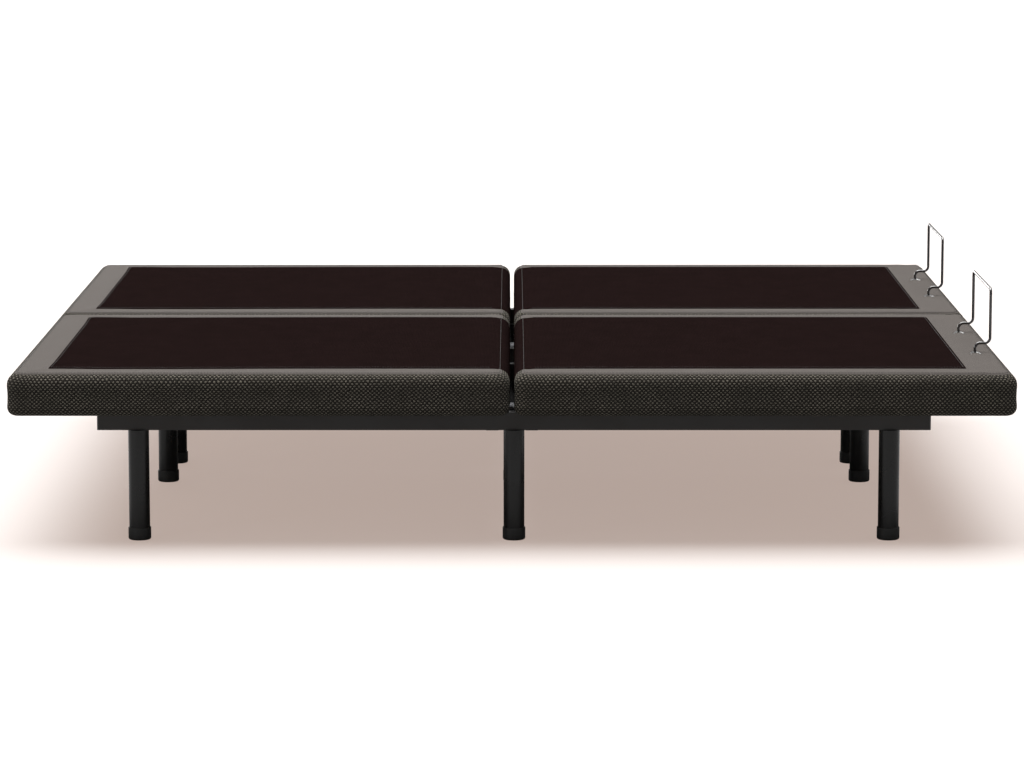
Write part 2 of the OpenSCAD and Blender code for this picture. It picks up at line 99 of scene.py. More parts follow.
# %% Studio light
world = bpy.data.worlds.new("studio")
world.use_nodes = True
world_nodes, world_links = world.node_tree.nodes, world.node_tree.links
sky = world_nodes["Background"]
sky.inputs["Color"].default_value = (1.0, 0.99, 0.98, 1.0)
sky.inputs["Strength"].default_value = 0.30
white_wall = world_nodes.new("ShaderNodeBackground")
white_wall.inputs["Strength"].default_value = 1.2
seen_by_camera = world_nodes.new("ShaderNodeLightPath")
wall_or_sky = world_nodes.new("ShaderNodeMixShader")
world_links.new(seen_by_camera.outputs["Is Camera Ray"], wall_or_sky.inputs[0])
world_links.new(sky.outputs[0], wall_or_sky.inputs[1])
world_links.new(white_wall.outputs[0], wall_or_sky.inputs[2])
world_links.new(wall_or_sky.outputs[0], world_nodes["World Output"].inputs["Surface"])
bpy.context.scene.world = world
bpy.context.scene.view_settings.view_transform = "Standard"


def add_light(name, lamp, place, aim):
    """Puts a lamp at a place, turned so that it shines on the aim point."""
    light = bpy.data.objects.new(name, lamp)
    light.location = place
    away = np.array(place, float) - np.array(aim, float)
    tilt = math.atan2(math.hypot(away[0], away[1]), away[2])
    light.rotation_euler = (tilt, 0.0, math.atan2(away[0], -away[1]))
    bpy.context.scene.collection.objects.link(light)


overhead = bpy.data.lights.new("overhead", "SUN")
overhead.energy = 8.6
overhead.angle = math.radians(66.0)
add_light("overhead", overhead, (-0.5, 0.9, 4.0), (0.0, 0.0, 0.0))
left_box = bpy.data.lights.new("left_box", "AREA")
left_box.shape = "RECTANGLE"
left_box.size, left_box.size_y = 0.7, 2.2
left_box.energy = 16.0
add_light("left_box", left_box, (-4.2, -4.4, 1.3), (0.0, -0.4, 0.15))
back_box = bpy.data.lights.new("back_box", "AREA")
back_box.shape = "RECTANGLE"
back_box.size, back_box.size_y = 5.0, 0.7
back_box.energy = 70.0
add_light("back_box", back_box, (-2.0, 4.6, 0.9), (0.0, 0.6, 0.0))

print("lamps:", [item.name for item in bpy.data.lights])

# %% [markdown]
# The floor is a sheet of pale paper, and one large square is enough for it. Plain paper would leave the
# shade under the bed much too dark, so the paper also has a small warm glow that the camera alone sees. The
# glow lights nothing, so the object keeps its true shading.

# %% Paper floor
floor_mesh = bpy.data.meshes.new("paper_floor")
floor_half = 60.0
floor_mesh.from_pydata([(-floor_half, -floor_half, 0), (floor_half, -floor_half, 0),
                        (floor_half, floor_half, 0), (-floor_half, floor_half, 0)], [], [(0, 1, 2, 3)])
paper_floor = bpy.data.objects.new("paper_floor", floor_mesh)
bpy.context.scene.collection.objects.link(paper_floor)
paper = bpy.data.materials.new("paper")
paper.use_nodes = True
paper_nodes, paper_links = paper.node_tree.nodes, paper.node_tree.links
paper_nodes.clear()
paper_out = paper_nodes.new("ShaderNodeOutputMaterial")
paper_sum = paper_nodes.new("ShaderNodeAddShader")
paper_face = paper_nodes.new("ShaderNodeBsdfDiffuse")
paper_face.inputs["Color"].default_value = (0.27, 0.27, 0.27, 1.0)
paper_glow = paper_nodes.new("ShaderNodeEmission")
paper_glow.inputs["Color"].default_value = (1.0, 0.80, 0.71, 1.0)
paper_path = paper_nodes.new("ShaderNodeLightPath")
paper_seen = paper_nodes.new("ShaderNodeMath")
paper_seen.operation = "MULTIPLY"
paper_seen.inputs[1].default_value = 0.44
paper_links.new(paper_path.outputs["Is Camera Ray"], paper_seen.inputs[0])
paper_links.new(paper_seen.outputs[0], paper_glow.inputs["Strength"])
paper_links.new(paper_face.outputs[0], paper_sum.inputs[0])
paper_links.new(paper_glow.outputs[0], paper_sum.inputs[1])
paper_links.new(paper_sum.outputs[0], paper_out.inputs["Surface"])
floor_mesh.materials.append(paper)
print("floor", 2 * floor_half, "m wide")

# %% [markdown]
# Many finishes share the same few effects, so each effect is built once as a shader node group: a weave for
# the two fabrics, a fine grain for paint and moulded plastic, and soft blotches that stop any surface from
# looking perfectly even. A tiny helper places nodes, so each group reads like the sum that it is.

# %% Helpers for shader nodes
class Graph:
    """Adds nodes to one node tree and wires them, so that a shader can be written as a sum."""

    def __init__(self, tree):
        self.tree = tree

    def node(self, kind, **settings):
        """A new node of that kind, with its settings."""
        made = self.tree.nodes.new(kind)
        for key, value in settings.items():
            setattr(made, key, value)
        return made

    def feed(self, socket, value):
        """Gives an input a link or a plain value."""
        if isinstance(value, bpy.types.NodeSocket):
            self.tree.links.new(value, socket)
        else:
            socket.default_value = value

    def math(self, operation, a, b=0.0, c=0.0):
        """One Math node of up to three values."""
        made = self.node("ShaderNodeMath", operation=operation)
        for socket, value in zip(made.inputs, (a, b, c)):
            self.feed(socket, value)
        return made.outputs[0]

    def blend(self, factor, low, high):
        """A colour between two colours."""
        made = self.node("ShaderNodeMix", data_type="RGBA")
        self.feed(made.inputs[0], factor)
        self.feed(made.inputs[6], low)
        self.feed(made.inputs[7], high)
        return made.outputs[2]

    def ramp(self, value, low, high, to_low=0.0, to_high=1.0):
        """A value stretched from one range to another and held inside it, with soft ends."""
        made = self.node("ShaderNodeMapRange", interpolation_type="SMOOTHSTEP")
        for socket, item in zip(made.inputs, (value, low, high, to_low, to_high)):
            self.feed(socket, item)
        return made.outputs[0]

    def noise(self, vector, scale, detail=2.0):
        """Soft random values about 0.5; scale is in blobs per metre on metre coordinates."""
        made = self.node("ShaderNodeTexNoise")
        self.feed(made.inputs["Vector"], vector)
        self.feed(made.inputs["Scale"], scale)
        self.feed(made.inputs["Detail"], detail)
        return made.outputs["Fac"]


def new_group(name, inputs, outputs):
    """A shader node group with named sockets: returns its graph, input node and output node."""
    tree = bpy.data.node_groups.new(name, "ShaderNodeTree")
    for label, kind in inputs:
        tree.interface.new_socket(label, in_out="INPUT", socket_type=kind)
    for label, kind in outputs:
        tree.interface.new_socket(label, in_out="OUTPUT", socket_type=kind)
    graph = Graph(tree)
    return graph, graph.node("NodeGroupInput"), graph.node("NodeGroupOutput")


def use_group(graph, name, **inputs):
    """Places a group in a material and gives its inputs; underscores stand for spaces."""
    made = graph.node("ShaderNodeGroup", node_tree=bpy.data.node_groups[name])
    for label, value in inputs.items():
        graph.feed(made.inputs[label.replace("_", " ")], value)
    return made.outputs


# %% [markdown]
# In a plain weave, warp yarns run one way and weft yarns the other. Whichever is on top at a crossing
# follows the sign of sin(a) * sin(b), a checkerboard, and each yarn is round, so its height is the absolute
# sine across it. Brick or checker textures could draw the squares, but sines give the round yarns as well.

# %% Weave group
g, gi, go = new_group("weave", [("Vector", "NodeSocketVector"), ("Pitch", "NodeSocketFloat")],
                      [("On Top", "NodeSocketFloat"), ("Height", "NodeSocketFloat"),
                       ("Yarn", "NodeSocketFloat")])
parts = g.node("ShaderNodeSeparateXYZ")
g.feed(parts.inputs[0], gi.outputs["Vector"])
turns = g.math("DIVIDE", math.tau, gi.outputs["Pitch"])
wobble = g.math("MULTIPLY", g.noise(gi.outputs["Vector"], 90.0), 3.0)
warp_a = g.math("MULTIPLY_ADD", parts.outputs[0], turns, wobble)
weft_a = g.math("MULTIPLY_ADD", parts.outputs[1], turns, wobble)
warp, weft = g.math("SINE", warp_a), g.math("SINE", weft_a)
on_top = g.ramp(g.math("MULTIPLY", warp, weft), -0.22, 0.22)
round_warp, round_weft = g.math("ABSOLUTE", weft), g.math("ABSOLUTE", warp)
lift = g.math("MULTIPLY_ADD", on_top, g.math("SUBTRACT", round_warp, round_weft), round_weft)
fuzz = g.noise(gi.outputs["Vector"], 900.0, 3.0)
g.feed(go.inputs["On Top"], on_top)
g.feed(go.inputs["Height"], g.math("MULTIPLY_ADD", fuzz, 0.25, lift))
g.feed(go.inputs["Yarn"], fuzz)

# %% [markdown]
# Paint and moulded plastic have a fine, even grain, and handling leaves broad, weak blotches over it. Both
# are noise, one of a small size and one of a large size, and only the blotches are squeezed into a mask.

# %% Grain and blotch groups
g, gi, go = new_group("grain", [("Vector", "NodeSocketVector"), ("Size", "NodeSocketFloat")],
                      [("Height", "NodeSocketFloat")])
g.feed(go.inputs["Height"], g.noise(gi.outputs["Vector"], g.math("DIVIDE", 1.0, gi.outputs["Size"]), 3.0))

g, gi, go = new_group("blotches", [("Vector", "NodeSocketVector"), ("Size", "NodeSocketFloat")],
                      [("Mask", "NodeSocketFloat")])
cloudy = g.noise(gi.outputs["Vector"], g.math("DIVIDE", 1.0, gi.outputs["Size"]), 4.0)
g.feed(go.inputs["Mask"], g.ramp(cloudy, 0.35, 0.68))

# %% [markdown]
# Drawn and ground metal carries fine lines round it or along it. Noise that is squeezed hard along one
# direction turns into such lines, and the same group gives wood its long grain.

# %% Brushed group
g, gi, go = new_group("brushed", [("Vector", "NodeSocketVector"), ("Stretch", "NodeSocketVector")],
                      [("Lines", "NodeSocketFloat")])
squeeze = g.node("ShaderNodeVectorMath", operation="MULTIPLY")
g.feed(squeeze.inputs[0], gi.outputs["Vector"])
g.feed(squeeze.inputs[1], gi.outputs["Stretch"])
g.feed(go.inputs["Lines"], g.noise(squeeze.outputs[0], 1.0, 2.0))
print("node groups:", [group.name for group in bpy.data.node_groups])

# %% [markdown]
# Every finish is one Principled shader with some plain values and a few effects wired into it. The helpers
# below make the shader, turn a height into a bump, and give the two kinds of coordinates that the patterns
# run on.

# %% Material helper
def new_material(name, **sockets):
    """A material with one Principled shader; sockets are its plain values, underscores standing for
    spaces."""
    material = bpy.data.materials.new(name)
    material.use_nodes = True
    graph = Graph(material.node_tree)
    shader = material.node_tree.nodes["Principled BSDF"]
    for label, value in sockets.items():
        shader.inputs[label.replace("_", " ")].default_value = value
    return material, graph, shader


def bump(graph, shader, height, metres, strength=1.0):
    """Turns a height of 0 to 1 into a bump that many metres deep."""
    made = graph.node("ShaderNodeBump")
    graph.feed(made.inputs["Height"], height)
    made.inputs["Distance"].default_value = metres
    made.inputs["Strength"].default_value = strength
    graph.feed(shader.inputs["Normal"], made.outputs[0])


def uv_of(graph):
    """The piece's UV map in metres, as a vector."""
    return graph.node("ShaderNodeTexCoord").outputs["UV"]


def place_of(graph):
    """The point's own place on the object, in metres."""
    return graph.node("ShaderNodeTexCoord").outputs["Object"]


# %% [markdown]
# Upholstery cloth is never one flat colour. The borders of the deck are a close, brushed cloth in grey-
# taupe with faint mottling, and the sides are a coarse tweed of dark yarn with lighter flecks. The border
# cloth is lighter than the tweed partly as its own colour and partly as painted light from overhead on the
# top. The weave reads the piece's own UV map, laid out in metres, so the yarns run along each side and keep
# one size round the corners.

# %% Cloth of the borders, the sides and the inserts
def make_cloth(name, dark, light, shade, pitch, depth, roughness, sheen, tint, gloss,
               painted_under_shade, yarn_mix):
    """A woven cloth: each yarn takes a colour between the dark and the light one from its fuzz, painted shade
    pulls it back towards the dark colour in the dips between the round yarns and on the yarns that lie below,
    and soft blotches pull both towards the shade colour. Height is the yarns' roundness."""
    material, graph, shader = new_material(name, Sheen_Weight=sheen, Sheen_Roughness=0.45,
                                           Sheen_Tint=tint, Specular_IOR_Level=gloss)
    where = uv_of(graph)
    weave = use_group(graph, "weave", Vector=where, Pitch=pitch)
    cloudy = use_group(graph, "blotches", Vector=place_of(graph), Size=0.05)["Mask"]
    yarn = graph.blend(graph.ramp(weave["Yarn"], 0.40, 0.62, 1.0 - yarn_mix, 1.0), dark, light)
    # painted shade: the yarn colour is darkened in the dips between round yarns and on the yarns lying below
    painted_yarn_shading = graph.math("MULTIPLY", graph.ramp(weave["Height"], 0.25, 1.05),
                     graph.math("MULTIPLY_ADD", weave["On Top"], painted_under_shade, 1.0 - painted_under_shade))
    crossed = graph.blend(painted_yarn_shading, dark, yarn)
    graph.feed(shader.inputs["Base Color"], graph.blend(graph.math("MULTIPLY", cloudy, 0.35), crossed, shade))
    rough = graph.ramp(weave["Height"], 0.0, 1.2, roughness + 0.08, roughness - 0.08)
    graph.feed(shader.inputs["Roughness"], rough)
    bump(graph, shader, weave["Height"], depth, 0.8)
    return material


# the border cloth is lighter than the tweed, partly its own colour and partly painted light on the top
border_cloth = make_cloth(
    "border_cloth", dark=(0.038, 0.033, 0.030, 1), light=(0.105, 0.094, 0.086, 1),
    shade=(0.058, 0.051, 0.047, 1), pitch=0.0034, depth=0.0004, roughness=0.92, sheen=0.02,
    tint=(0.85, 0.80, 0.76, 1), gloss=0.06, painted_under_shade=0.3, yarn_mix=0.5)
side_tweed = make_cloth(
    "side_tweed", dark=(0.0018, 0.0016, 0.0013, 1), light=(0.190, 0.170, 0.138, 1),
    shade=(0.020, 0.0185, 0.015, 1), pitch=0.0088, depth=0.0024, roughness=0.92, sheen=0.02,
    tint=(0.7, 0.66, 0.6, 1), gloss=0.06, painted_under_shade=0.85, yarn_mix=0.75)
insert_cloth = make_cloth(
    "insert_cloth", dark=(0.0018, 0.0010, 0.0010, 1), light=(0.0180, 0.0104, 0.0098, 1),
    shade=(0.0046, 0.0028, 0.0026, 1), pitch=0.0060, depth=0.0007, roughness=0.97, sheen=0.0,
    tint=(0.6, 0.5, 0.46, 1), gloss=0.0, painted_under_shade=0.5, yarn_mix=0.6)
print("cloths made")

# %% [markdown]
# Each half of a module is one upholstered panel: foam on a board, with cloth pulled over and tacked under
# the rim. It could be a box with a bevel, but a box has no corners that fan round and no seams. So the
# panel is worked out as one grid for the top, with a ribbon of rings that runs out over the rounded edge,
# down the wall, round the rim and up the inside. Every ring is a whole array of points, so no loop over
# points is needed.

# %% Sizes of a panel's cover
edge_r = 0.025                 # rounding of the top edge, and of the corners seen from above
rim_r = 0.016                  # rounding of the rim
wall = 0.0196                  # how far the rim reaches in under the panel
core_in = 0.040                # how far inside the outline the top's plain grid ends
grid_step = 0.014
hinge_row = 0.25               # how far from a module's middle each hinge stands
hinge_slot = 0.0045            # half the width of the slot that a hinge ear swings through
slot_roof = 0.3305             # height of the rim where a slot cuts up into the wall
ceiling = 0.3316               # height of the inside's top, just above the board
draw_in = 0.0016               # how deep the wall is drawn in before it swells
insert_boxes = {(end, side): node_box(f"{end}_insert_{side}") for end in ENDS for side in SIDES}
print(f"cover grid {grid_step * 1000:.0f} mm, rounded edge {edge_r * 1000:.0f} mm")


def lines_between(low, high, kept=()):
    """Grid lines from low to high: fine near both ends, about a grid step apart between, and exactly on
    each kept value with a line 6 mm to either side of it."""
    fine = np.array([0.0, 0.004, 0.008, 0.012, 0.0165, 0.021, 0.0255, 0.030])
    stops = [low + 0.030, high - 0.030]
    for value in kept:
        stops += [value - 0.006, value, value + 0.006]
    stops = np.unique(np.round(stops, 5))
    inner = [np.linspace(a, b, max(2, int(round((b - a) / grid_step)) + 1))
             for a, b in zip(stops[:-1], stops[1:])]
    lines = np.concatenate([low + fine, *inner, high - fine])
    return np.unique(np.round(lines, 5))


# %% [markdown]
# Seen from above, the core is a plain rectangle of grid lines and the outline is a rectangle with round
# corners. Each grid line that ends on the core's edge is led out to its own place on the outline. Near a
# corner the lines fan out over the arc, so the corner gets whole four-sided faces and no point where many
# edges meet.

# %% Outline of a panel seen from above
def outward_from_core(across, half):
    """Where a grid line that ends on one side of the core meets the outline: the distance from the corner's
    middle along the outline, as a table of distances from the core's corner. The last 12 mm spread over the
    corner's arc, the next 18 mm take up the difference, and the rest run straight out."""
    from_corner = half - core_in - np.abs(across)
    half_arc = edge_r * math.pi / 4
    along = np.interp(from_corner, [0.0, 0.012, 0.030], [0.0, half_arc, half_arc + 0.030 + core_in - edge_r])
    return np.where(from_corner > 0.030, along + from_corner - 0.030, along)


def side_outline(across, half):
    """The outline along one straight side with its two half corners, in the side's own frame: its place
    along the side, its depth inside the side's plane, and the outward direction (along, out). The arc's
    angle is distance over radius."""
    along = outward_from_core(across, half)
    half_arc = edge_r * math.pi / 4
    turn = np.clip((half_arc - along) / edge_r, 0.0, math.pi / 4)
    straight = half - edge_r - np.clip(along - half_arc, 0.0, None)
    place = np.where(along < half_arc, half - edge_r + edge_r * np.sin(turn), straight)
    depth = edge_r * (1 - np.cos(turn))
    sign = np.sign(across)
    return sign * place, depth, sign * np.sin(turn), np.cos(turn)


def panel_loop(xs, ys):
    """The core's edge and the outline, both as closed loops with one point for each grid line's end, going
    round anticlockwise, with the outward direction at each. Coordinates are about the panel's own
    middle."""
    hx, hy = xs[-1] + core_in, ys[-1] + core_in
    px, dx, ux, vx = side_outline(xs, hx)
    py, dy, uy, vy = side_outline(ys, hy)
    bottom = (np.c_[xs, np.full_like(xs, ys[0])], np.c_[px, -hy + dx], np.c_[ux, -vx])
    right = (np.c_[np.full_like(ys, xs[-1]), ys], np.c_[hx - dy, py], np.c_[vy, uy])
    top = (np.c_[xs, np.full_like(xs, ys[-1])][::-1], np.c_[px, hy - dx][::-1], np.c_[ux, vx][::-1])
    left = (np.c_[np.full_like(ys, xs[0]), ys][::-1], np.c_[-hx + dy, py][::-1], np.c_[-vy, uy][::-1])
    return [np.concatenate([part[k][:-1] for part in (bottom, right, top, left)]) for k in range(3)]


# %% [markdown]
# A cover is a grid for the flat top and then ring after ring: over the rounded edge, down the wall, round
# the rim and up the inside. Neighbouring rings join into four-sided faces, and a second grid closes the
# inside, so the cover has a thickness and no open edge. Slots are left in the wall on the gap side for the
# hinge ears.

# %% The cover as a grid and a ribbon of rings
def cover_shape(end, side):
    """All points of a panel's cover at rest, in metres, with its faces and a few named point sets. The top
    edge
    is a quarter circle: a point goes in by R(1 - sin a) and down by R(1 - cos a). The wall is drawn in by a
    half sine of its height, deepest halfway, so that the cloth has room to swell. The rim is a quarter circle
    too, and the inside runs straight up."""
    low, high = node_box(f"{end}_pad_{side}")
    middle = (low + high) / 2
    half = (high - low) / 2
    box_low, box_high = insert_boxes[end, side]
    outer_sign = -1.0 if end == "head" else 1.0
    seam_x = (box_low[0] if end == "head" else box_high[0]) - middle[0]
    seam_y = box_high[1] - middle[1]
    slot_lines = (-hinge_slot - 0.002, -hinge_slot, hinge_slot, hinge_slot + 0.002)
    slots = [s * hinge_row + d for s in (-1, 1) for d in slot_lines]
    xs = lines_between(-half[0] + core_in, half[0] - core_in, [seam_x])
    ys = lines_between(-half[1] + core_in, half[1] - core_in, [-seam_y, seam_y])
    ys = ys[np.min(np.abs(ys[:, None] - np.array(slots)), axis=1) > 0.0015]
    ys = np.unique(np.round(np.concatenate([ys, slots]), 5))
    nx, ny = len(xs), len(ys)
    core, outline, out = panel_loop(xs, ys)
    loops = len(core)
    gap_side = (outline[:, 0] * outer_sign < -half[0] + 0.001)
    in_slot = gap_side & (np.abs(np.abs(outline[:, 1]) - hinge_row) < hinge_slot + 0.0005)
    rim_z = np.where(in_slot, slot_roof, deck_bottom)
    radius = np.where(in_slot, 0.0012, rim_r)

    def depth_inside(points):
        """How far inside the outline a point is: the rounded rectangle's distance."""
        q = np.abs(points) - (half[:2] - edge_r)
        return edge_r - np.linalg.norm(np.maximum(q, 0), axis=1) - np.minimum(q.max(axis=1), 0)

    rings = []
    start_depth = 1.0 - np.array([0.26, 0.375, 0.46, 0.56, 0.67, 0.79, 0.90, 0.966, 1.0])
    for left_over in start_depth:
        points = core + (outline - core) * (1 - left_over)
        inside = np.clip(depth_inside(points), 0.0, edge_r)
        z = deck_top - edge_r + np.sqrt(np.clip(edge_r**2 - (edge_r - inside) ** 2, 0, None))
        rings.append(np.c_[points, z])
    wall_top = deck_top - edge_r
    for part in (0.22, 0.45, 0.68, 0.88, 1.0):
        z = wall_top + (rim_z + radius - wall_top) * part
        rings.append(np.c_[outline - out * draw_in * math.sin(math.pi * part) ** 0.7, z] if part < 1
                     else np.c_[outline, z])
    for turn in (30, 60, 90):
        a = math.radians(turn)
        inward = (radius * (1 - math.cos(a)))[:, None]
        rings.append(np.c_[outline - out * inward, rim_z + radius * (1 - math.sin(a))])
    rings.append(np.c_[outline - out * (wall - 0.0012), rim_z])
    rings.append(np.c_[outline - out * wall, rim_z + 0.0012])
    rings.append(np.c_[outline - out * wall, np.maximum(rim_z + 0.012, ceiling - 0.003 * in_slot) * in_slot
                       + (deck_bottom + 0.02) * ~in_slot])
    rings.append(np.c_[outline - out * wall, np.full(loops, ceiling)])
    grid = np.stack([np.repeat(xs, ny), np.tile(ys, nx), np.full(nx * ny, deck_top)], axis=1)
    inner_lid = np.c_[grid[:, :2], np.full(nx * ny, ceiling)]
    points = np.concatenate([grid, *rings, inner_lid]) + np.array([middle[0], middle[1], 0.0])

    index = np.arange(nx * ny).reshape(nx, ny)
    edge = np.concatenate([index[:-1, 0], index[-1, :-1], index[:0:-1, -1], index[0, :0:-1]])
    lid_start = nx * ny + len(rings) * loops
    ring_rows = nx * ny + np.arange(len(rings) * loops).reshape(len(rings), loops)
    rows = np.vstack([edge, ring_rows, edge + lid_start])
    corners = [index[:-1, :-1], index[1:, :-1], index[1:, 1:], index[:-1, 1:]]
    top_faces = np.stack(corners, axis=-1).reshape(-1, 4)
    nxt = np.roll(rows, -1, axis=1)
    ring_faces = np.stack([rows[:-1], rows[1:], nxt[1:], nxt[:-1]], axis=-1).reshape(-1, 4)
    return dict(points=points, top=top_faces, ring=ring_faces, lid=top_faces[:, ::-1] + lid_start,
                rows=rows, index=index, xs=xs, ys=ys,
                outline=outline, out=out, in_slot=in_slot, middle=middle, half=half, loops=loops,
                seam_x=seam_x, seam_y=seam_y, outer_sign=outer_sign)


# %% [markdown]
# Points and faces become an object in one step, and its UV map is filled in another. Both take whole
# arrays, so a large mesh costs no more code than a small one.

# %% Mesh helper
def make_mesh(name, points, faces, smooth=True):
    """A mesh object at the origin with its points in metres."""
    mesh = bpy.data.meshes.new(name)
    mesh.from_pydata(np.asarray(points).tolist(), [], [list(map(int, face)) for face in faces])
    mesh.polygons.foreach_set("use_smooth", np.full(len(mesh.polygons), smooth))
    mesh.update()
    made = bpy.data.objects.new(name, mesh)
    bpy.context.scene.collection.objects.link(made)
    return made


def set_uv(mesh, flat):
    """Gives a mesh its UV map from one (u, v) row for each face corner."""
    layer = mesh.uv_layers.new(name="UVMap")
    layer.data.foreach_set("uv", np.asarray(flat, float).ravel())


# %% [markdown]
# The foam pushes the cloth out evenly while the tacked rim holds it, and that is what pressure in a cloth
# simulation does. The rim, the inside and the slots are pinned, gravity is off, and twenty frames are
# enough for the wall and the top to swell. A cap on how far a point may move keeps each panel inside its
# own space, because the next panel stands only a few millimetres away.

# %% The cloth simulation
def swell(points, faces, pins, cap):
    """Where the points go when pressure swells the cloth: the move of each point is cut to the cap's
    length."""
    soft = make_mesh("soft_trial", points, faces)
    facing = np.empty(len(points) * 3)
    soft.data.vertices.foreach_get("normal", facing)
    facing = facing.reshape(-1, 3)
    held = soft.vertex_groups.new(name="held")
    for weight in np.unique(pins[pins > 0]):
        held.add(np.nonzero(pins == weight)[0].tolist(), float(weight), "REPLACE")
    cloth = soft.modifiers.new("swell", "CLOTH")
    cloth.settings.quality = 4
    cloth.settings.mass = 0.25
    cloth.settings.use_pressure = True
    cloth.settings.uniform_pressure_force = 4.0
    cloth.settings.vertex_group_mass = "held"
    cloth.settings.effector_weights.gravity = 0.0
    cloth.settings.tension_stiffness = 40.0
    cloth.settings.compression_stiffness = 40.0
    cloth.settings.bending_stiffness = 2.0
    cloth.collision_settings.use_collision = False
    scene = bpy.context.scene
    for number in range(1, 21):
        scene.frame_set(number)
        bpy.context.view_layer.update()
    after = soft.evaluated_get(bpy.context.evaluated_depsgraph_get()).to_mesh()
    moved = np.empty(len(points) * 3)
    after.vertices.foreach_get("co", moved)
    mesh = soft.data
    bpy.data.objects.remove(soft)
    bpy.data.meshes.remove(mesh)
    scene.frame_set(1)
    shift = moved.reshape(-1, 3) - points
    outward = np.sum(shift * facing, axis=1, keepdims=True)
    along = (shift - outward * facing) * 0.3
    shift = along + facing * np.maximum(outward, 0.0)
    length = np.linalg.norm(shift, axis=1, keepdims=True)
    print("  free move outwards, mean", round(float(outward.mean()) * 1000, 2), "most",
          round(float(outward.max()) * 1000, 2), "least", round(float(outward.min()) * 1000, 2), "mm")
    return points + shift * np.minimum(1.0, cap / np.maximum(length, 1e-9))


# %% [markdown]
# After the swelling come the marks that the needle and the bar leave. The top is crowned a little, the sewn
# line of the insert is a narrow groove, the border cloth meets the side cloth in a seam, and the cloth is
# flat round the feet of the retainer bar. They come last, so that the simulation can't smooth them away.

# %% Panels
COVERS = {}
SEAM_ROW = 5                   # the ring where the border cloth meets the side cloth
top_cap, wall_cap = 0.0012, 0.0028    # how far the simulation may move a point
crown = 0.0006
groove_depth, groove_width = 0.0013, 0.0045


def bar_feet(side):
    """Where the two feet of a module's retainer bar stand, from its sockets' box."""
    low, high = node_box(f"retainer_sockets_{side}")
    reach = (high[0] - low[0]) / 2
    return [((low[0] + high[0]) / 2, low[1] + reach), ((low[0] + high[0]) / 2, high[1] - reach)]


